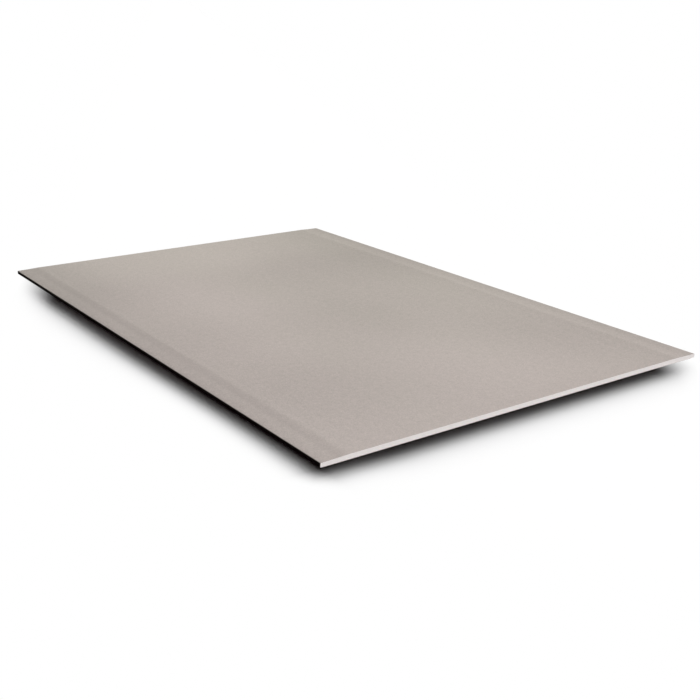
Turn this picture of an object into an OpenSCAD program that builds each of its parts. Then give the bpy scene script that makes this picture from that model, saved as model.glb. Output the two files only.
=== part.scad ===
// Drywall sheet with recessed long edges: a gypsum core cast between two papers.
// The face paper runs over the face, turns down round both long edges and folds under
// the back, where the back paper is pasted over the folded flaps. The two short ends
// are cut square, so they show the bare core between the papers.
// The sheet lies on its back: X along its length, Y across its width, Z out of its face.

/* [Sheet] */
// Length between the two cut ends
sheet_l = 1800; // [600:10:3600]
// Width between the two paper-bound edges
sheet_w = 1200; // [400:10:1250]
// Thickness away from the recessed edges
sheet_t = 12.5; // [9.5:0.5:18]

/* [Recessed edges] */
// Width of the recess along each long edge
recess_w = 75; // [40:1:80]
// Depth of the recess at the edge itself
recess_d = 1.8; // [0.6:0.1:2.5]
// Width of the soft shoulder where the recess begins
shoulder_w = 40; // [20:1:60]
// Part of the recess's depth that falls within the shoulder
shoulder_d = 0.7; // [0.2:0.1:1]
// Radius of the corner between the face and the long edge
face_corner_r = 2.5; // [1:0.1:3]
// Radius of the corner between the back and the long edge
back_corner_r = 1.5; // [1:0.1:2.5]

/* [Papers] */
// Thickness of the face paper
face_paper_t = 0.3; // [0.2:0.02:0.5]
// Thickness of the back paper
back_paper_t = 0.3; // [0.2:0.02:0.5]
// Width of the face paper's flap that is folded under the back, from the long edge
flap_w = 30; // [20:1:50]
// Distance from the long edge to the edge of the back paper, which laps over the flap
back_paper_inset = 8; // [4:1:15]

/* [Hidden] */

// Straight steps along each recess and round each corner
RECESS_STEPS = 16;
CORNER_STEPS = 6;
// Above 1 the taper falls slowly at its start and faster towards the edge
TAPER_POWER = 1.4;

FACE_PAPER_COLOUR = [0.71, 0.68, 0.65];
BACK_PAPER_COLOUR = [0.58, 0.53, 0.47];
GYPSUM_COLOUR = [0.90, 0.88, 0.86];

half_w = sheet_w / 2;
recess_run = recess_w - face_corner_r;
edge_top_z = sheet_t - recess_d;

function smooth_step(u) = u * u * (3 - 2 * u);

// Depth of the recess at a distance from its start: a smooth step down the shoulder,
// and a taper down the whole way that takes the rest of the depth
function recess_fall(distance) =
    shoulder_d * smooth_step(min(distance / shoulder_w, 1))
    + (recess_d - shoulder_d) * pow(distance / recess_run, TAPER_POWER);

function arc(centre, r, from, to) = [
    for (i = [0:CORNER_STEPS])
        let (a = from + (to - from) * i / CORNER_STEPS)
        centre + r * [cos(a), sin(a)]
];

function reversed(points) = [for (i = [len(points) - 1:-1:0]) points[i]];

function mirrored(points) = [for (p = points) [-p.x, p.y]];

// Outline of one side, inset from the outside of the face paper: down the recess,
// round the long edge, and under to the end of the flap
function side_outline(inset) = concat(
    [
        for (i = [0:RECESS_STEPS - 1])
            let (distance = recess_run * i / RECESS_STEPS)
            [
                half_w - recess_w + distance,
                sheet_t - inset - recess_fall(distance)
            ]
    ],
    arc([half_w - face_corner_r, edge_top_z - face_corner_r], face_corner_r - inset, 90, 0),
    arc([half_w - back_corner_r, back_paper_t + back_corner_r], back_corner_r - inset, 0, -90),
    [[half_w - flap_w, back_paper_t + inset]]
);

// The same line right across the sheet, from flap end to flap end over the face
function wrap_outline(inset) = concat(
    reversed(mirrored(side_outline(inset))),
    side_outline(inset)
);

// Carries a section, drawn with Y across and Z up, along the sheet's length
module along_sheet() {
    translate([-sheet_l / 2, 0, 0])
        rotate([90, 0, 90])
            linear_extrude(height = sheet_l)
                children();
}

// Fills the inside of the face paper, and stands proud between the flaps to meet the back paper
module gypsum_core() {
    color(GYPSUM_COLOUR)
        along_sheet()
            polygon(concat(
                wrap_outline(face_paper_t),
                [[half_w - flap_w, back_paper_t], [flap_w - half_w, back_paper_t]]
            ));
}

module face_paper() {
    color(FACE_PAPER_COLOUR)
        along_sheet()
            polygon(concat(wrap_outline(0), reversed(wrap_outline(face_paper_t))));
}

module back_paper() {
    color(BACK_PAPER_COLOUR)
        along_sheet()
            translate([back_paper_inset - half_w, 0])
                square([sheet_w - 2 * back_paper_inset, back_paper_t]);
}

gypsum_core();
face_paper();
back_paper();
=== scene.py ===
"""Dresses a drywall sheet that lies on a pale studio floor.

Three pieces stand for the three solids of the frame: a gypsum core with sawn, porous ends,
a face paper that wraps it over the face and round both long edges, and a back paper.
"""

import math

import bpy
import numpy as np
from bpy.props import FloatProperty, FloatVectorProperty, PointerProperty
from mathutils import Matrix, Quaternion, Vector


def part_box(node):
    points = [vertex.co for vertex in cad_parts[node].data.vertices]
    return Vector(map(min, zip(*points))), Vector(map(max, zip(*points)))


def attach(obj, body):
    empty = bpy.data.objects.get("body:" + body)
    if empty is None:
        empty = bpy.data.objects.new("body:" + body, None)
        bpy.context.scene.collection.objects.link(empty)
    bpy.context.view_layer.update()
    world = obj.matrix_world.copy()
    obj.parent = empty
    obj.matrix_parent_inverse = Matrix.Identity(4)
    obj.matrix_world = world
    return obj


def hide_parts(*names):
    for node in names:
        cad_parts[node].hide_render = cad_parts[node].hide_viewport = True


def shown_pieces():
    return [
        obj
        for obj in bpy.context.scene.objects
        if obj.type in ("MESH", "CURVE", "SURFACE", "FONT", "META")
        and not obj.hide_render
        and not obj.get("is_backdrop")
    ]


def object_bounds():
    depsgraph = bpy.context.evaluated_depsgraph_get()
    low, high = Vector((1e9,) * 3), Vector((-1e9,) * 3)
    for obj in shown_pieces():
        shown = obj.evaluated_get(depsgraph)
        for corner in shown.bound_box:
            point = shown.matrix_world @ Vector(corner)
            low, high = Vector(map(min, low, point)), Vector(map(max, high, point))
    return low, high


bl_info = {
    "name": "Drywall Sheet",
    "version": (1, 0, 0),
    "blender": (4, 5, 0),
    "location": "View3D > Sidebar > Drywall",
    "description": "Builds a drywall sheet's papers, core and studio around its packed solids",
    "category": "Add Mesh",
}

# The frame, and the sizes that it gives
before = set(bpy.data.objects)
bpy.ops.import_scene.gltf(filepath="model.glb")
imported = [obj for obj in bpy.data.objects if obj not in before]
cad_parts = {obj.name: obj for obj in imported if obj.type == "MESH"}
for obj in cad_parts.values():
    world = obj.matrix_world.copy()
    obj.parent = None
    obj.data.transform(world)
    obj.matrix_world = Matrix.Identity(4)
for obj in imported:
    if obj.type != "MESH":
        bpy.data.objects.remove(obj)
CAD_LOW, CAD_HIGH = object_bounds()
_, CORE_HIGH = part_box("gypsum_core")
BACK_LOW, BACK_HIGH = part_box("back_paper")
BODY = "root"

HALF_LENGTH = CAD_HIGH.x
HALF_WIDTH = CAD_HIGH.y
FACE_HEIGHT = CAD_HIGH.z
FACE_PAPER = CAD_HIGH.z - CORE_HIGH.z
BACK_PAPER = BACK_HIGH.z - BACK_LOW.z
BACK_HALF_WIDTH = BACK_HIGH.y

# How finely the surfaces are divided, and the width of the steep step in the core beside each flap
FLAT_STEPS = 66
RECESS_STEPS = 30
CORNER_STEPS = 8
EDGE_STEPS = 4
FLAP_STEPS = 5
STATIONS = 151
END_GRAIN_STEP = 0.00065
END_ROWS = 20
REBATE_STEP = 0.00002
SHARP_ANGLE = math.radians(40)

# Noise in the shapes: cells of its table, where the sheet's middle lies on it, and a seed for each use
NOISE_CELLS = 64
NOISE_START = 20
LONG_RIPPLE_SEED = 11
SHORT_RIPPLE_SEED = 12
FACE_FRAY_SEED = 21
BACK_FRAY_SEED = 22
WAVER_SEED = 23
FRONT_END_SEED = 31
REAR_END_SEED = 41

# Ripples of the face: distance between humps along and across the sheet, and the long ripple's share
LONG_RIPPLE = (0.22, 0.16)
SHORT_RIPPLE = (0.07, 0.05)
LONG_RIPPLE_SHARE = 0.75

# Power of its upward share that makes the relief fade where the paper turns down
RELIEF_FADE = 8

# Uneven cut ends and edges of the papers: distance between humps, and where they start on the noise's table
FINE_FRAY = 0.003
FINE_FRAY_START = 400
COARSE_FRAY = 0.011
COARSE_FRAY_START = 100
WAVER = 0.09
LEFT_WAVER_ROW = 7.0
RIGHT_WAVER_ROW = 14.0

# Grain of the sawn ends: distance between humps and share of the depth, coarse and fine
COARSE_GRAIN = 0.005
COARSE_SHARE = 0.3
FINE_GRAIN = 0.0015
FINE_SHARE = 0.2

# Open bubbles of the sawn ends, as shares of their spacing, and the power that makes most of them small
SMALLEST_PIT = 0.08
LARGEST_PIT = 0.30
PIT_RAGGEDNESS = 0.25
PIT_POWER = 3

# Pores of the gypsum's material: raggedness, fineness of it, spread of sizes, and share that is deepest
PORE_RAGGEDNESS = 0.5
PORE_EDGE_SCALE = 2.2
PORE_SPREAD = 0.7
PORE_MIDDLE = 0.3

# Softness of a paper fibre's outline, and roughness of the noise that gives it
FIBRE_SOFTNESS = 0.06
FIBRE_ROUGHNESS = 0.4

# Marks on the face paper along the long edges, mostly painted shade and light: where they lie and how wide
# they are
FAINT_LINE_INSET = 0.095
SHOULDER_SHADE_INSET = 0.050
LINE_WIDTH = 0.011
RECESS_SHADE_WIDTH = 0.050
EDGE_SHADE_WIDTH = 0.0016
NEAR_EDGE_START = 0.30
NEAR_EDGE_FULL = 0.56

# How much those marks darken the paper, and at the -Y edge's +X end lighten it
FAINT_LINE_DARKENING = 0.012
SHOULDER_PAINTED_SHADE = 0.024
RECESS_PAINTED_SHADE = 0.062
EDGE_PAINTED_SHADE = 0.45
NEAR_EDGE_LIGHT_AND_SHADE = 0.08

# Soft lamps that light the sheet, and the distance at which every lamp is drawn
KEY_WIDTH = math.radians(24)
TOP_AZIMUTH = math.radians(180)
TOP_ELEVATION = math.radians(78)
TOP_WIDTH = math.radians(22)
REAR_AZIMUTH = math.radians(266)
REAR_ELEVATION = math.radians(5)
REAR_WIDTH = math.radians(8)
LAMP_DISTANCE = 5.0

# Suns one above the other that light the floor as one tall soft lamp: name, share, elevation and width
FLOOR_LAMPS = (
    ("floor_lowest", 0.435, math.radians(5.75), math.radians(6.1)),
    ("floor_low", 0.37, math.radians(8.4), math.radians(9.2)),
    ("floor_middle", 0.155, math.radians(13.2), math.radians(14.0)),
    ("floor_high", 0.022, math.radians(30.0), math.radians(25.0)),
    ("floor_highest", 0.018, math.radians(62.0), math.radians(40.0)),
)

# The floor's half width, and its gap below the sheet
FLOOR_REACH = 200.0
FLOOR_GAP = 0.00002

# Where the floor glows plain white on both sides, painted light over the sheet's shadow: a level direction,
# and distances from the middle along it
SIDE_DIRECTION = math.radians(64)
SIDE_START = 0.78
SIDE_FULL = 0.92

# The same round the near corner, within a width of the sheet, and how much distance past its end counts
FRONT_DIRECTION = math.radians(-77)
FRONT_START = 0.62
FRONT_FULL = 0.80
FRONT_WIDTH = 0.105
END_SHARE = 0.63

# The camera's frame in millimetres, and how far it sees
SENSOR_WIDTH = 36.0
VIEW_DEPTH = 500.0

# Plain white, and the sockets of a Mix node that are for colours
WHITE = (1.0, 1.0, 1.0, 1.0)
MIX_SHARE = 0
MIX_FIRST = 6
MIX_SECOND = 7
MIX_RESULT = 2


class DrywallForm(bpy.types.PropertyGroup):
    """Sizes of the recessed edges, of the paper's fold and of the fine relief."""

    recess_width: FloatProperty(
        name="Recess width", description="Width of the recess along each long edge",
        default=0.075, min=0.04, max=0.08, unit="LENGTH",
    )
    recess_depth: FloatProperty(
        name="Recess depth", description="Depth of the recess at the long edge itself",
        default=0.0018, min=0.0006, max=0.0025, unit="LENGTH",
    )
    shoulder_width: FloatProperty(
        name="Shoulder width", description="Width of the soft shoulder where the recess begins",
        default=0.040, min=0.02, max=0.06, unit="LENGTH",
    )
    shoulder_depth: FloatProperty(
        name="Shoulder depth", description="Part of the recess's depth that falls within the shoulder",
        default=0.0007, min=0.0002, max=0.001, unit="LENGTH",
    )
    taper_power: FloatProperty(
        name="Taper power",
        description="Above 1 the rest of the depth falls slowly at first and faster at the edge",
        default=1.4, min=1.0, max=3.0,
    )
    face_corner: FloatProperty(
        name="Face corner", description="Radius between the face and the long edge",
        default=0.0018, min=0.001, max=0.003, unit="LENGTH",
    )
    back_corner: FloatProperty(
        name="Back corner", description="Radius between the back and the long edge",
        default=0.0015, min=0.001, max=0.0025, unit="LENGTH",
    )
    flap_width: FloatProperty(
        name="Flap width", description="Width of the face paper's flap folded under the back",
        default=0.030, min=0.02, max=0.05, unit="LENGTH",
    )
    ridge_height: FloatProperty(
        name="Ridge height",
        description="Height of the faint ridge that the forming belt leaves beside each recess",
        default=0.0001, min=0.0, max=0.0003, unit="LENGTH",
    )
    ridge_width: FloatProperty(
        name="Ridge width", description="Half width of that ridge",
        default=0.010, min=0.004, max=0.03, unit="LENGTH",
    )
    ridge_inset: FloatProperty(
        name="Ridge inset", description="Distance of the ridge's crest from the long edge",
        default=0.073, min=0.05, max=0.15, unit="LENGTH",
    )
    ripple: FloatProperty(
        name="Ripple", description="Height of the slow ripples in the face",
        default=0.00006, min=0.0, max=0.0002, unit="LENGTH",
    )
    fray: FloatProperty(
        name="Fray", description="How far the papers' cut ends stand unevenly",
        default=0.00015, min=0.0, max=0.0005, unit="LENGTH",
    )
    pit_depth: FloatProperty(
        name="Pit depth", description="Depth of the deepest air bubbles cut open at the ends",
        default=0.0005, min=0.0, max=0.002, unit="LENGTH",
    )
    pit_spacing: FloatProperty(
        name="Pit spacing", description="Distance between neighbouring air bubbles at the ends",
        default=0.0034, min=0.002, max=0.02, unit="LENGTH",
    )
    grain_depth: FloatProperty(
        name="Grain depth", description="Depth of the rough grain of the sawn gypsum",
        default=0.00016, min=0.0, max=0.0005, unit="LENGTH",
    )


class DrywallColours(bpy.types.PropertyGroup):
    """Colours of the papers, the gypsum and the floor."""

    face_paper: FloatVectorProperty(
        name="Face paper", description="Warm grey of the face paper",
        default=(0.467, 0.430, 0.385), min=0.0, max=1.0, subtype="COLOR",
    )
    face_tint: FloatVectorProperty(
        name="Face tint", description="Pinker grey that the face paper drifts to in places",
        default=(0.475, 0.422, 0.395), min=0.0, max=1.0, subtype="COLOR",
    )
    back_paper: FloatVectorProperty(
        name="Back paper", description="Browner grey of the back paper",
        default=(0.330, 0.280, 0.220), min=0.0, max=1.0, subtype="COLOR",
    )
    gypsum: FloatVectorProperty(
        name="Gypsum", description="Off-white of the sawn core",
        default=(0.815, 0.765, 0.750), min=0.0, max=1.0, subtype="COLOR",
    )
    floor: FloatVectorProperty(
        name="Floor", description="White of the studio floor",
        default=(0.950, 0.950, 0.950), min=0.0, max=1.0, subtype="COLOR",
    )
    room: FloatVectorProperty(
        name="Room", description="Warm tint of the dim light all round",
        default=(1.0, 0.55, 0.48), min=0.0, max=1.0, subtype="COLOR",
    )


class DrywallStudio(bpy.types.PropertyGroup):
    """Places of the camera and the lamps, which circle the sheet: azimuth 0 looks along +Y."""

    camera_azimuth: FloatProperty(
        name="Camera azimuth", description="Direction that the camera stands in",
        default=math.radians(54.14), subtype="ANGLE",
    )
    camera_elevation: FloatProperty(
        name="Camera elevation", description="Height of the camera above the horizon",
        default=math.radians(19.23), subtype="ANGLE",
    )
    camera_roll: FloatProperty(
        name="Camera roll", description="Turn of the camera about its own line of sight",
        default=math.radians(0.686), subtype="ANGLE",
    )
    camera_distance: FloatProperty(
        name="Camera distance", description="Distance from the camera to the point that it looks at",
        default=2.781, min=0.1, unit="LENGTH",
    )
    camera_target: FloatVectorProperty(
        name="Camera target", description="Point on the face that the camera looks at",
        default=(0.3720, -0.1475, 0.0125), subtype="TRANSLATION",
    )
    camera_lens: FloatProperty(
        name="Camera lens", description="Focal length on a frame 36 mm wide, in millimetres",
        default=54.03, min=10.0,
    )
    key_azimuth: FloatProperty(
        name="Key azimuth", description="Direction of the main soft lamp",
        default=math.radians(156), subtype="ANGLE",
    )
    key_elevation: FloatProperty(
        name="Key elevation", description="Height of the main soft lamp above the horizon",
        default=math.radians(13), subtype="ANGLE",
    )
    key_strength: FloatProperty(
        name="Key strength", description="Light of the main soft lamp",
        default=6.8, min=0.0,
    )
    top_strength: FloatProperty(
        name="Top strength", description="Light of the wide soft lamp above the sheet",
        default=1.285, min=0.0,
    )
    rear_strength: FloatProperty(
        name="Rear strength", description="Light of the low lamp that faces the far end",
        default=2.0, min=0.0,
    )
    shadow_azimuth: FloatProperty(
        name="Shadow azimuth", description="Direction of the lamps behind the sheet that light the floor",
        default=math.radians(222.5), subtype="ANGLE",
    )
    floor_white: FloatProperty(
        name="Floor white", description="How white those lamps make the floor, where 1 is white",
        default=1.0, min=0.0,
    )
    ambient: FloatProperty(
        name="Ambient", description="Light of the room all round",
        default=0.004, min=0.0,
    )


# Shader trees

class Value:
    """A socket of a shader tree. Arithmetic on it adds Math nodes and gives the result's socket."""

    def __init__(self, paint, socket):
        self.paint = paint
        self.socket = socket

    def math(self, operation, left, right):
        """Adds one Math node."""
        return self.paint.node("ShaderNodeMath", {"operation": operation}, {0: left, 1: right})

    def __add__(self, other):
        return self.math("ADD", self, other)

    def __radd__(self, other):
        return self.math("ADD", other, self)

    def __sub__(self, other):
        return self.math("SUBTRACT", self, other)

    def __rsub__(self, other):
        return self.math("SUBTRACT", other, self)

    def __mul__(self, other):
        return self.math("MULTIPLY", self, other)

    def __rmul__(self, other):
        return self.math("MULTIPLY", other, self)


class Paint:
    """A shader tree that is written node by node."""

    def __init__(self, tree):
        self.tree = tree
        self.tree.nodes.clear()

    def node(self, kind, settings=None, sockets=None, output=0):
        """Adds a node, makes its settings, fills or links its sockets, and gives one output if any."""
        made = self.tree.nodes.new(kind)
        for name, setting in (settings or {}).items():
            setattr(made, name, setting)
        for key, value in (sockets or {}).items():
            if isinstance(value, Value):
                self.tree.links.new(value.socket, made.inputs[key])
            else:
                made.inputs[key].default_value = value
        return Value(self, made.outputs[output]) if made.outputs else None

    def place(self, scale=(1.0, 1.0, 1.0), shift=(0.0, 0.0, 0.0)):
        """The piece's own coordinates, in metres, stretched and shifted."""
        here = self.node("ShaderNodeTexCoord", output="Object")
        return self.node("ShaderNodeMapping", None, {"Vector": here, "Scale": scale, "Location": shift})

    def noise(self, per_metre, detail=2.0, stretch=(1.0, 1.0, 1.0), roughness=0.5, shift=(0.0, 0.0, 0.0)):
        """Soft noise around 0, from about -0.5 to 0.5, with so many features to the metre."""
        at = self.place(stretch, shift)
        sockets = {"Vector": at, "Scale": per_metre, "Detail": detail, "Roughness": roughness}
        return self.node("ShaderNodeTexNoise", None, sockets) - 0.5

    def size(self, value):
        """The value without its sign."""
        return self.node("ShaderNodeMath", {"operation": "ABSOLUTE"}, {0: value})

    def positive(self, value):
        """The value, or 0 where it is less."""
        return self.node("ShaderNodeMath", {"operation": "MAXIMUM"}, {0: value, 1: 0.0})

    def ramp(self, value, low, high):
        """A smooth step from 0 where the value is low to 1 where it is high."""
        sockets = {"Value": value, "From Min": low, "From Max": high}
        return self.node("ShaderNodeMapRange", {"interpolation_type": "SMOOTHSTEP"}, sockets)

    def shade(self, colour, tone):
        """The colour made lighter or darker by the tone."""
        sockets = {0: colour, "Scale": tone}
        return self.node("ShaderNodeVectorMath", {"operation": "SCALE"}, sockets)

    def blend(self, share, first, second):
        """The first colour where the share is 0 and the second where it is 1."""
        sockets = {MIX_SHARE: share, MIX_FIRST: (*first, 1.0), MIX_SECOND: (*second, 1.0)}
        return self.node("ShaderNodeMix", {"data_type": "RGBA"}, sockets, MIX_RESULT)

    def bump(self, height, distance, strength):
        """The surface's normal, tilted by a height that stands for so many metres."""
        sockets = {"Height": height, "Distance": distance, "Strength": strength}
        return self.node("ShaderNodeBump", None, sockets)

    def surface(self, **sockets):
        """Ends a material's tree in one Principled shader."""
        named = {name.replace("_", " "): value for name, value in sockets.items()}
        shader = self.node("ShaderNodeBsdfPrincipled", None, named)
        self.node("ShaderNodeOutputMaterial", None, {"Surface": shader})


def new_material(name):
    """A material and the empty shader tree to write it in."""
    material = bpy.data.materials.new(name)
    material.use_nodes = True
    return material, Paint(material.node_tree)


def fibre_marks(paint, length, width, level, shift=(0.0, 0.0, 0.0)):
    """Short fibres mostly along the sheet: 1 where drawn-out noise is above the level, and 0 below."""
    stretch = (width / length, 1.0, 1.0)
    field = paint.noise(1 / width, detail=1.0, stretch=stretch, roughness=FIBRE_ROUGHNESS, shift=shift)
    return paint.ramp(field, level, level + FIBRE_SOFTNESS)


def from_middle(paint, axis):
    """Distance in metres from the sheet's middle along its length, X, or its width, Y."""
    return paint.node("ShaderNodeSeparateXYZ", None, {"Vector": paint.place()}, axis)


def from_long_edge(paint):
    """Distance in metres from the nearer long edge."""
    return HALF_WIDTH - paint.size(from_middle(paint, "Y"))


def near_edge_light_and_shade(paint, along):
    """Along the -Y long edge, from -1 at the -X end to 1 at the +X end, and 0 away from that edge."""
    return along * (1 - paint.ramp(from_middle(paint, "Y"), -NEAR_EDGE_FULL, -NEAR_EDGE_START))


def darker_lines(paint, inset, line):
    """1 along the two lines so far in from the long edges, and 0 away: a faint line, and a painted shade
    line.
    """
    return 1 - paint.ramp(paint.size(inset - line), 0.0, LINE_WIDTH)


def face_paper_material(colours):
    """Smooth warm grey paper: slow clouds, a fine mottle, fibres along the sheet, and painted shade and
    light along the long edges.
    """
    material, paint = new_material("face_paper_grey")
    clouds = paint.noise(1.16, detail=1.0, stretch=(0.97, 1.23, 1.0), shift=(4.58, 1.81, 14.33))
    tints = paint.noise(1.9, stretch=(0.8, 1.2, 1.0), shift=(7.0, 3.0, 5.0))
    streaks = paint.noise(55.0, stretch=(0.02, 1.0, 1.0))
    mottle = paint.noise(70.0, detail=4.0, roughness=0.85)
    grain = paint.noise(420.0, stretch=(0.6, 1.0, 1.0))
    dark_fibres = fibre_marks(paint, length=0.0065, width=0.0007, level=0.17)
    pale_fibres = fibre_marks(paint, length=0.0050, width=0.0006, level=0.18, shift=(3.1, 1.7, 0.4))
    along = from_middle(paint, "X") * (1 / HALF_LENGTH)
    across = from_middle(paint, "Y") * (1 / HALF_WIDTH)
    inset = from_long_edge(paint)
    tone = 1 + 0.46 * clouds + 0.03 * streaks + 0.33 * mottle + 0.55 * grain
    tone = tone - 0.10 * dark_fibres + 0.07 * pale_fibres
    # A faint darker line 95 mm in from each long edge
    tone = tone - FAINT_LINE_DARKENING * darker_lines(paint, inset, FAINT_LINE_INSET)
    # Painted shade: a darker line along the recess's shoulder, 50 mm in from each long edge
    tone = tone - SHOULDER_PAINTED_SHADE * darker_lines(paint, inset, SHOULDER_SHADE_INSET)
    # Painted shade towards the -X end of the -Y long edge, and painted light towards its +X end
    tone = tone + NEAR_EDGE_LIGHT_AND_SHADE * near_edge_light_and_shade(paint, along)
    # Painted shade: darker towards both long edges over the recesses, fading out 50 mm in
    tone = tone - RECESS_PAINTED_SHADE * (1 - paint.ramp(inset, 0.0, RECESS_SHADE_WIDTH))
    # Painted shade: the paper round both long edges is drawn at about half brightness
    tone = tone * (1 - EDGE_PAINTED_SHADE * (1 - paint.ramp(inset, 0.0, EDGE_SHADE_WIDTH)))
    pinker = 0.6 + 0.30 * along - 0.25 * across + tints + 2.0 * grain
    colour = paint.blend(pinker, colours.face_paper, colours.face_tint)
    height = grain + 0.5 * pale_fibres + 0.6 * dark_fibres + 0.6 * mottle
    paint.surface(
        Base_Color=paint.shade(colour, tone),
        Roughness=0.80 + 0.12 * mottle + 0.10 * grain,
        Specular_IOR_Level=0.01,
        Normal=paint.bump(height, distance=0.00006, strength=0.35),
    )
    return material


def back_paper_material(colours):
    """Coarser recycled paper: browner, with more and longer fibres of both shades."""
    material, paint = new_material("back_paper_brown")
    clouds = paint.noise(2.6, detail=1.0, stretch=(0.8, 1.2, 1.0))
    streaks = paint.noise(40.0, stretch=(0.02, 1.0, 1.0))
    mottle = paint.noise(80.0, detail=3.0)
    grain = paint.noise(330.0, stretch=(0.5, 1.0, 1.0))
    dark_fibres = fibre_marks(paint, length=0.0090, width=0.0009, level=0.13)
    pale_fibres = fibre_marks(paint, length=0.0075, width=0.0008, level=0.14, shift=(2.3, 0.9, 1.4))
    tone = 1 + 0.14 * clouds + 0.07 * streaks + 0.14 * mottle + 0.16 * grain
    tone = tone - 0.28 * dark_fibres + 0.20 * pale_fibres
    height = grain + 0.6 * pale_fibres + 0.6 * dark_fibres + 0.6 * mottle
    paint.surface(
        Base_Color=paint.shade(tuple(colours.back_paper), tone),
        Roughness=0.86 + 0.12 * mottle + 0.10 * grain,
        Specular_IOR_Level=0.25,
        Normal=paint.bump(height, distance=0.00009, strength=0.5),
    )
    return material


def open_pores(paint, per_metre, size, shift=(0.0, 0.0, 0.0)):
    """Ragged pores of many sizes, one to a cell at most: 1 in a pore's middle and 0 outside it."""
    sockets = {"Vector": paint.place(shift=shift), "Scale": per_metre}
    distance = paint.node("ShaderNodeTexVoronoi", None, sockets, "Distance")
    cell = paint.node("ShaderNodeTexVoronoi", None, sockets, "Color")
    smaller = paint.node("ShaderNodeSeparateColor", None, {"Color": cell}, "Red")
    edge = paint.noise(PORE_EDGE_SCALE * per_metre, detail=1.0)
    ragged = distance + PORE_RAGGEDNESS * edge + PORE_SPREAD * size * smaller
    return 1 - paint.ramp(ragged, PORE_MIDDLE * size, size)


def gypsum_material(colours):
    """Sawn gypsum: off-white, with fine and coarse pores, grain and faint saw marks from face to back."""
    material, paint = new_material("sawn_gypsum")
    clouds = paint.noise(14.0)
    grain = paint.noise(700.0, detail=3.0)
    saw_marks = paint.noise(260.0, detail=1.0, stretch=(1.0, 1.0, 0.05))
    fine_pores = open_pores(paint, per_metre=1100.0, size=0.30)
    coarse_pores = open_pores(paint, per_metre=420.0, size=0.24, shift=(1.3, 0.7, 0.2))
    tone = 1 + 0.06 * clouds + 0.10 * grain + 0.05 * saw_marks
    # The pores are drawn darker: painted shade in the open bubbles
    tone = tone - 0.16 * fine_pores - 0.24 * coarse_pores
    height = grain + 0.7 * saw_marks - 0.8 * fine_pores - 1.6 * coarse_pores
    paint.surface(
        Base_Color=paint.shade(tuple(colours.gypsum), tone),
        Roughness=0.92 + 0.10 * grain,
        Specular_IOR_Level=0.2,
        Normal=paint.bump(height, distance=0.00015, strength=0.6),
    )
    return material


def level_distance(paint, direction):
    """Distance in metres from the middle along a level direction, which is an angle from +X."""
    sockets = {0: paint.place(), 1: (math.cos(direction), math.sin(direction), 0.0)}
    return paint.node("ShaderNodeVectorMath", {"operation": "DOT_PRODUCT"}, sockets, "Value")


def outside_sheet(paint):
    """Distance in metres past the sheet's long edges, plus a share of the distance past its ends."""
    past_end = paint.size(from_middle(paint, "X")) - HALF_LENGTH
    past_edge = paint.size(from_middle(paint, "Y")) - HALF_WIDTH
    return END_SHARE * paint.positive(past_end) + paint.positive(past_edge)


def floor_material(colours):
    """A matt white floor that takes the sheet's shadow, with painted light glowing plain white over that
    shadow at both sides and in front.
    """
    material, paint = new_material("studio_floor")
    sides = paint.ramp(paint.size(level_distance(paint, SIDE_DIRECTION)), SIDE_START, SIDE_FULL)
    front = paint.ramp(level_distance(paint, FRONT_DIRECTION), FRONT_START, FRONT_FULL)
    matt = paint.node("ShaderNodeBsdfDiffuse", None, {"Color": (*colours.floor, 1.0)})
    white = paint.node("ShaderNodeEmission", None, {"Color": WHITE, "Strength": 1.0})
    # Where the share is 1 the floor glows plain white: painted light over the sheet's shadow
    share = sides + front * paint.ramp(outside_sheet(paint), 0.0, FRONT_WIDTH)
    shader = paint.node("ShaderNodeMixShader", None, {0: share, 1: matt, 2: white})
    paint.node("ShaderNodeOutputMaterial", None, {"Surface": shader})
    material.cycles.emission_sampling = "NONE"
    return material


# Surfaces

def smooth_step(share):
    """Three times the square less twice the cube: from 0 to 1, and level at both ends."""
    return share ** 2 * (3 - 2 * share)


def lattice_noise(first, second, seed):
    """Smooth noise from -1 to 1: random values at whole numbers, eased between the four nearest."""
    table = np.random.default_rng(seed).uniform(-1, 1, (NOISE_CELLS, NOISE_CELLS))
    row = np.floor(first).astype(int)
    column = np.floor(second).astype(int)
    down = smooth_step(first - row)
    over = smooth_step(second - column)
    next_row = (row + 1) % NOISE_CELLS
    next_column = (column + 1) % NOISE_CELLS
    row = row % NOISE_CELLS
    column = column % NOISE_CELLS
    low = table[row, column] * (1 - down) + table[next_row, column] * down
    high = table[row, next_column] * (1 - down) + table[next_row, next_column] * down
    return low * (1 - over) + high * over


def recess_fall(form, distance):
    """Depth of the recess at a distance from its start.

    A smooth step goes down the shoulder, and the taper, a power of the whole way, takes the rest.
    """
    step = np.clip(distance / form.shoulder_width, 0, 1)
    taper = (distance / (form.recess_width - form.face_corner)) ** form.taper_power
    rest = form.recess_depth - form.shoulder_depth
    return form.shoulder_depth * smooth_step(step) + rest * taper


def corner_arc(centre, radius, start, stop):
    """Points at even angles on a circle: the centre plus the radius times cosine and sine."""
    angle = np.radians(np.linspace(start, stop, CORNER_STEPS + 1))
    return centre + radius * np.stack([np.cos(angle), np.sin(angle)], 1)


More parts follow.
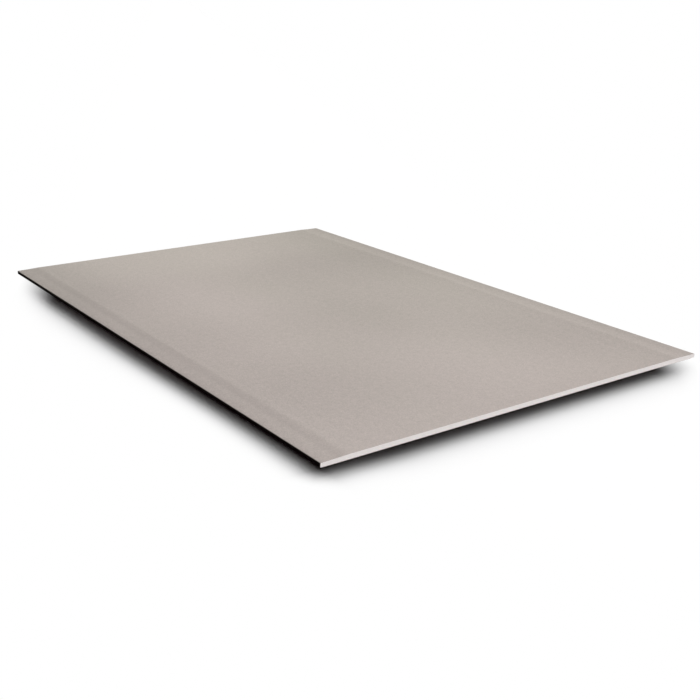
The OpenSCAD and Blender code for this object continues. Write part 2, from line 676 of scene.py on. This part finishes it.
def half_wrap(form, inset):
    """One side of the face paper's section, inset from its outside, as (y, z) points.

    Level from the middle, down the recess by its shoulder and taper, a quarter circle to the long edge,
    straight down it, a quarter circle to the back, and level to the end of the flap.
    """
    recess_start = HALF_WIDTH - form.recess_width
    edge_top = FACE_HEIGHT - form.recess_depth
    flat_y = np.linspace(0, recess_start, FLAT_STEPS, endpoint=False)
    flat = np.stack([flat_y, np.full(FLAT_STEPS, FACE_HEIGHT - inset)], 1)
    distance = np.linspace(0, form.recess_width - form.face_corner, RECESS_STEPS, endpoint=False)
    recess = np.stack([recess_start + distance, FACE_HEIGHT - inset - recess_fall(form, distance)], 1)
    face_centre = np.array([HALF_WIDTH - form.face_corner, edge_top - form.face_corner])
    face_arc = corner_arc(face_centre, form.face_corner - inset, 90, 0)
    back_centre = np.array([HALF_WIDTH - form.back_corner, BACK_PAPER + form.back_corner])
    back_arc = corner_arc(back_centre, form.back_corner - inset, 0, -90)
    edge = np.linspace(face_arc[-1], back_arc[0], EDGE_STEPS + 1)[1:-1]
    flap_end = np.array([HALF_WIDTH - form.flap_width, BACK_PAPER + inset])
    flap = np.linspace(back_arc[-1], flap_end, FLAP_STEPS + 1)[1:]
    return np.concatenate([flat, recess, face_arc, edge, back_arc, flap])


def whole_wrap(form, inset):
    """The face paper's section from flap end to flap end: one side mirrored, then the other."""
    side = half_wrap(form, inset)
    mirrored = side[:0:-1] * np.array([-1, 1])
    return np.concatenate([mirrored, side])


def ripples(x, y, spacing, seed):
    """Smooth noise over the sheet, with its humps so far apart along and across."""
    along, across = spacing
    return lattice_noise(x / along + NOISE_START, y / across + NOISE_START, seed)


def face_relief(form, x, y):
    """Height of the fine relief: a bell-shaped ridge beside each recess, and slow ripples of noise."""
    from_crest = (np.abs(y) - (HALF_WIDTH - form.ridge_inset)) / form.ridge_width
    ridge = form.ridge_height * np.exp(-from_crest ** 2)
    long_ripple = LONG_RIPPLE_SHARE * ripples(x, y, LONG_RIPPLE, LONG_RIPPLE_SEED)
    short_ripple = (1 - LONG_RIPPLE_SHARE) * ripples(x, y, SHORT_RIPPLE, SHORT_RIPPLE_SEED)
    return ridge + form.ripple * (long_ripple + short_ripple)


def closed_shell(first, second):
    """Vertices and faces of two like grids of points joined round their rims by a strip of faces."""
    rows, columns = first.shape[:2]
    count = rows * columns
    index = np.arange(count).reshape(rows, columns)
    corners = [index[:-1, :-1], index[1:, :-1], index[1:, 1:], index[:-1, 1:]]
    quads = np.stack(corners, -1).reshape(-1, 4)
    rim = np.concatenate([index[0, :-1], index[:-1, -1], index[-1, :0:-1], index[:0:-1, 0]])
    after = np.roll(rim, -1)
    strip = np.stack([rim, after, after + count, rim + count], 1)
    faces = np.concatenate([quads, quads[:, ::-1] + count, strip])
    points = np.concatenate([first.reshape(-1, 3), second.reshape(-1, 3)])
    return points, facing_out(points, faces)


def facing_out(points, faces):
    """Turns all faces round if the volume that they enclose comes out negative."""
    corner = points[faces]
    first_half = np.cross(corner[:, 1], corner[:, 2]) * corner[:, 0]
    second_half = np.cross(corner[:, 2], corner[:, 3]) * corner[:, 0]
    return faces if (first_half + second_half).sum() > 0 else faces[:, ::-1]


def add_piece(name, node, points, faces, material):
    """Puts a shell into a mesh that stands for a solid of the frame and rides on the same body."""
    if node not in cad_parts:
        raise RuntimeError(f"the frame has no {node}")
    mesh = bpy.data.meshes.new(name)
    mesh.from_pydata(points.tolist(), [], faces.tolist())
    mesh.materials.append(material)
    mesh.shade_smooth()
    mesh.set_sharp_from_angle(angle=SHARP_ANGLE)
    piece = bpy.data.objects.new(name, mesh)
    bpy.context.scene.collection.objects.link(piece)
    piece.visible_diffuse = False
    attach(piece, BODY)
    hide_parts(node)
    return piece


def sheet_stations():
    """Even places along the sheet from end to end."""
    return np.linspace(-HALF_LENGTH, HALF_LENGTH, STATIONS)


def frayed(form, x, along, seed):
    """Stations along the sheet, for each point of a section, the two outermost moved inwards by noise."""
    spread = np.repeat(x[None, :], len(along), 0)
    fine = along / FINE_FRAY + FINE_FRAY_START
    coarse = along / COARSE_FRAY + COARSE_FRAY_START
    inward = form.fray * (1 + lattice_noise(fine, coarse, seed)) / 2
    spread[:, 0] += inward
    spread[:, -1] -= inward[::-1]
    return spread


def face_paper_shell(form):
    """Carries the wrap's outside and inside along the sheet, with the relief where the outside faces up."""
    outer = whole_wrap(form, 0.0)
    inner = whole_wrap(form, FACE_PAPER)
    outward = (outer - inner) / np.linalg.norm(outer - inner, axis=1, keepdims=True)
    along = np.concatenate([[0], np.cumsum(np.linalg.norm(np.diff(outer, axis=0), axis=1))])
    x = frayed(form, sheet_stations(), along, FACE_FRAY_SEED)
    faces_up = np.clip(outward[:, 1], 0, 1)[:, None] ** RELIEF_FADE
    lift = face_relief(form, x, outer[:, :1]) * faces_up
    outer_y = outer[:, :1] + lift * outward[:, :1]
    outer_z = outer[:, 1:] + lift * outward[:, 1:]
    inner_y = np.broadcast_to(inner[:, :1], x.shape)
    inner_z = np.broadcast_to(inner[:, 1:], x.shape)
    return closed_shell(np.stack([x, outer_y, outer_z], -1), np.stack([x, inner_y, inner_z], -1))


def back_paper_shell(form):
    """A flat sheet whose long edges waver slowly: each point's y is scaled by the width at its station."""
    share = np.linspace(-1, 1, 2 * FLAT_STEPS)
    x = frayed(form, sheet_stations(), BACK_HALF_WIDTH * share, BACK_FRAY_SEED)
    row = np.where(share < 0, LEFT_WAVER_ROW, RIGHT_WAVER_ROW)[:, None]
    waver = 2 * form.fray * lattice_noise(x / WAVER + NOISE_START, row, WAVER_SEED)
    y = share[:, None] * (BACK_HALF_WIDTH - np.abs(waver))
    under = np.stack([x, y, np.zeros_like(x)], -1)
    upper = np.stack([x, y, np.full_like(x, BACK_PAPER)], -1)
    return closed_shell(under, upper)


def core_columns(form):
    """Places across the core: even steps, closer round the corners, with a step at each flap's end."""
    corner_start = HALF_WIDTH - form.face_corner
    flap_end = HALF_WIDTH - form.flap_width
    even = np.linspace(0, corner_start, round(corner_start / END_GRAIN_STEP))
    quarter = np.linspace(0, math.pi / 2, CORNER_STEPS + 1)[1:]
    corner = corner_start + (form.face_corner - FACE_PAPER) * np.sin(quarter)
    side = np.sort(np.concatenate([even, corner, [flap_end - REBATE_STEP, flap_end]]))
    return np.concatenate([-side[:0:-1], side])


def core_top(form, y):
    """Height of the core's face: level, down the recess, then the quarter circle inside the paper."""
    out = np.abs(y)
    distance = np.clip(out - (HALF_WIDTH - form.recess_width), 0, form.recess_width - form.face_corner)
    recess = FACE_HEIGHT - FACE_PAPER - recess_fall(form, distance)
    radius = form.face_corner - FACE_PAPER
    past = np.clip(out - (HALF_WIDTH - form.face_corner), 0, radius)
    return recess - radius + np.sqrt(radius ** 2 - past ** 2)


def core_bottom(form, y):
    """Height of the core's back: level, raised above each flap, then the quarter circle inside it."""
    out = np.abs(y)
    over_flap = np.clip((out - (HALF_WIDTH - form.flap_width)) / REBATE_STEP + 1, 0, 1)
    radius = form.back_corner - FACE_PAPER
    past = np.clip(out - (HALF_WIDTH - form.back_corner), 0, radius)
    return BACK_PAPER + FACE_PAPER * over_flap + radius - np.sqrt(radius ** 2 - past ** 2)


def bubble_pits(y, z, spacing, seed):
    """Depth of open bubbles from 0 to 1: the deepest of nine round bowls in a jittered grid of cells."""
    dice = np.random.default_rng(seed).random((NOISE_CELLS, NOISE_CELLS, 3))
    cell_y = np.floor(y / spacing).astype(int)
    cell_z = np.floor(z / spacing).astype(int)
    depth = np.zeros_like(y)
    for step_y in (-1, 0, 1):
        for step_z in (-1, 0, 1):
            lot = dice[(cell_y + step_y) % NOISE_CELLS, (cell_z + step_z) % NOISE_CELLS]
            off_y = y / spacing - (cell_y + step_y + lot[..., 0])
            off_z = z / spacing - (cell_z + step_z + lot[..., 1])
            radius = SMALLEST_PIT + (LARGEST_PIT - SMALLEST_PIT) * lot[..., 2] ** PIT_POWER
            bowl = np.sqrt(np.clip(1 - (off_y ** 2 + off_z ** 2) / radius ** 2, 0, 1))
            depth = np.maximum(depth, bowl * radius / LARGEST_PIT)
    return depth


def end_depth(form, y, z, seed):
    """Depth of each point of a sawn end: rough grain, and open bubbles made ragged by the same noise."""
    coarse = lattice_noise(y / COARSE_GRAIN, z / COARSE_GRAIN, seed)
    fine = lattice_noise(y / FINE_GRAIN, z / FINE_GRAIN, seed + 1)
    grain = form.grain_depth * (COARSE_SHARE * (1 + coarse) + FINE_SHARE * (1 + fine))
    ragged = PIT_RAGGEDNESS * form.pit_spacing
    pits = bubble_pits(y + ragged * fine, z + ragged * coarse, form.pit_spacing, seed + 2)
    return grain + form.pit_depth * pits


def core_shell(form):
    """The two sawn ends as grids, joined along the sheet by their rims.

    A grid's columns stand across the sheet, and its rows share out the thickness evenly from back to face.
    """
    y, row = np.meshgrid(core_columns(form), np.linspace(0, 1, END_ROWS + 1))
    z = core_bottom(form, y) * (1 - row) + core_top(form, y) * row
    front = np.stack([HALF_LENGTH - end_depth(form, y, z, FRONT_END_SEED), y, z], -1)
    rear = np.stack([end_depth(form, y, z, REAR_END_SEED) - HALF_LENGTH, y, z], -1)
    return closed_shell(front, rear)


# Stage

def towards(azimuth, elevation):
    """Unit vector from the sheet to what stands at that azimuth and elevation."""
    level = math.cos(elevation)
    return Vector((math.sin(azimuth) * level, -math.cos(azimuth) * level, math.sin(elevation)))


def add_camera(studio):
    """A camera that stands off its target and looks at it, turned a little about its line of sight."""
    camera = bpy.data.objects.new("camera", bpy.data.cameras.new("camera"))
    bpy.context.scene.collection.objects.link(camera)
    back = towards(studio.camera_azimuth, studio.camera_elevation)
    camera.location = Vector(studio.camera_target) + back * studio.camera_distance
    camera.rotation_mode = "QUATERNION"
    level = (-back).to_track_quat("-Z", "Y")
    camera.rotation_quaternion = level @ Quaternion((0, 0, 1), studio.camera_roll)
    camera.data.sensor_width = SENSOR_WIDTH
    camera.data.lens = studio.camera_lens
    camera.data.clip_end = VIEW_DEPTH
    bpy.context.scene.camera = camera


def add_lamp(name, strength, azimuth, elevation, width, lit):
    """A sun of an angular width that shines from that direction on what is in the collection alone.

    It is sampled as a lamp only: the pieces are hidden from bounced rays, which would pass through them.
    """
    data = bpy.data.lights.new(name, "SUN")
    data.energy = strength
    data.angle = width
    data.cycles.use_multiple_importance_sampling = False
    lamp = bpy.data.objects.new(name, data)
    bpy.context.scene.collection.objects.link(lamp)
    place = LAMP_DISTANCE * towards(azimuth, elevation)
    lamp.location = place
    lamp.rotation_mode = "QUATERNION"
    lamp.rotation_quaternion = place.to_track_quat("Z", "Y")
    lamp.light_linking.receiver_collection = lit


def add_floor(colours):
    """A level square far wider than the view, under the sheet."""
    level = CAD_LOW.z - FLOOR_GAP
    corners = [
        (-FLOOR_REACH, -FLOOR_REACH, level),
        (FLOOR_REACH, -FLOOR_REACH, level),
        (FLOOR_REACH, FLOOR_REACH, level),
        (-FLOOR_REACH, FLOOR_REACH, level),
    ]
    mesh = bpy.data.meshes.new("studio_floor")
    mesh.from_pydata(corners, [], [(0, 1, 2, 3)])
    mesh.materials.append(floor_material(colours))
    floor = bpy.data.objects.new("studio_floor", mesh)
    bpy.context.scene.collection.objects.link(floor)
    floor.visible_diffuse = False
    floor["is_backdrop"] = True
    return floor


def light_room(studio, colours):
    """A dim room for the light that falls on things, and a white one for what is seen or mirrored."""
    world = bpy.data.worlds.new("studio_room")
    world.use_nodes = True
    bpy.context.scene.world = world
    paint = Paint(world.node_tree)
    seen = paint.node("ShaderNodeLightPath", output="Is Camera Ray")
    seen = seen + paint.node("ShaderNodeLightPath", output="Is Glossy Ray")
    seen = seen + paint.node("ShaderNodeLightPath", output="Is Transmission Ray")
    tint = (*colours.room, 1.0)
    dim = paint.node("ShaderNodeBackground", None, {"Color": tint, "Strength": studio.ambient})
    white = paint.node("ShaderNodeBackground", None, {"Color": WHITE, "Strength": 1.0})
    room = paint.node("ShaderNodeMixShader", None, {0: seen, 1: dim, 2: white})
    paint.node("ShaderNodeOutputWorld", None, {"Surface": room})


def lit_collection(name, things):
    """A collection of the things that a lamp may light."""
    collection = bpy.data.collections.new(name)
    for thing in things:
        collection.objects.link(thing)
    return collection


# Operators

class DRYWALL_OT_gypsum_core(bpy.types.Operator):
    """Builds the gypsum core with its two sawn ends"""

    bl_idname = "drywall.gypsum_core"
    bl_label = "Gypsum Core"

    def execute(self, context):
        points, faces = core_shell(context.scene.drywall_form)
        material = gypsum_material(context.scene.drywall_colours)
        piece = add_piece("sawn_gypsum_core", "gypsum_core", points, faces, material)
        return {"FINISHED"}


class DRYWALL_OT_face_paper(bpy.types.Operator):
    """Wraps the face paper over the face, round the long edges and under the back"""

    bl_idname = "drywall.face_paper"
    bl_label = "Face Paper"

    def execute(self, context):
        points, faces = face_paper_shell(context.scene.drywall_form)
        material = face_paper_material(context.scene.drywall_colours)
        piece = add_piece("face_paper_wrap", "face_paper", points, faces, material)
        return {"FINISHED"}


class DRYWALL_OT_back_paper(bpy.types.Operator):
    """Lays the back paper over the core and the folded flaps"""

    bl_idname = "drywall.back_paper"
    bl_label = "Back Paper"

    def execute(self, context):
        points, faces = back_paper_shell(context.scene.drywall_form)
        material = back_paper_material(context.scene.drywall_colours)
        piece = add_piece("back_paper_sheet", "back_paper", points, faces, material)
        return {"FINISHED"}


class DRYWALL_OT_studio(bpy.types.Operator):
    """Sets up the floor, the room, the lamps and the camera"""

    bl_idname = "drywall.studio"
    bl_label = "Studio"

    def execute(self, context):
        studio = context.scene.drywall_studio
        colours = context.scene.drywall_colours
        floor = add_floor(colours)
        sheet_only = lit_collection("lit_sheet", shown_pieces())
        floor_only = lit_collection("lit_floor", [floor])
        add_lamp(
            "key", studio.key_strength, studio.key_azimuth, studio.key_elevation, KEY_WIDTH, sheet_only,
        )
        add_lamp("top", studio.top_strength, TOP_AZIMUTH, TOP_ELEVATION, TOP_WIDTH, sheet_only)
        add_lamp("rear", studio.rear_strength, REAR_AZIMUTH, REAR_ELEVATION, REAR_WIDTH, sheet_only)
        for name, share, elevation, width in FLOOR_LAMPS:
            strength = share * studio.floor_white * math.pi / (colours.floor[0] * math.sin(elevation))
            add_lamp(name, strength, studio.shadow_azimuth, elevation, width, floor_only)
        light_room(studio, colours)
        add_camera(studio)
        context.scene.view_settings.view_transform = "Standard"
        return {"FINISHED"}


class DRYWALL_PT_panel(bpy.types.Panel):
    """Lists the sheet's sizes and colours and the operators that build it"""

    bl_idname = "DRYWALL_PT_panel"
    bl_label = "Drywall Sheet"
    bl_space_type = "VIEW_3D"
    bl_region_type = "UI"
    bl_category = "Drywall"

    def draw(self, context):
        scene = context.scene
        for group in (scene.drywall_form, scene.drywall_colours, scene.drywall_studio):
            box = self.layout.box()
            for name in group.__annotations__:
                box.prop(group, name)
        for operator in OPERATORS:
            self.layout.operator(operator.bl_idname)


GROUPS = {
    "drywall_form": DrywallForm,
    "drywall_colours": DrywallColours,
    "drywall_studio": DrywallStudio,
}
OPERATORS = (DRYWALL_OT_gypsum_core, DRYWALL_OT_face_paper, DRYWALL_OT_back_paper, DRYWALL_OT_studio)
CLASSES = (*GROUPS.values(), *OPERATORS, DRYWALL_PT_panel)


def register():
    """Makes the add-on's classes and settings known to Blender."""
    for each in CLASSES:
        bpy.utils.register_class(each)
    for name, group in GROUPS.items():
        setattr(bpy.types.Scene, name, PointerProperty(type=group))


def unregister():
    """Takes the settings and the classes away again."""
    for name in GROUPS:
        delattr(bpy.types.Scene, name)
    for each in reversed(CLASSES):
        bpy.utils.unregister_class(each)


def main():
    """Builds the pieces and the stage in order."""
    register()
    bpy.ops.drywall.gypsum_core()
    bpy.ops.drywall.face_paper()
    bpy.ops.drywall.back_paper()
    bpy.ops.drywall.studio()


if __name__ == "__main__":
    main()
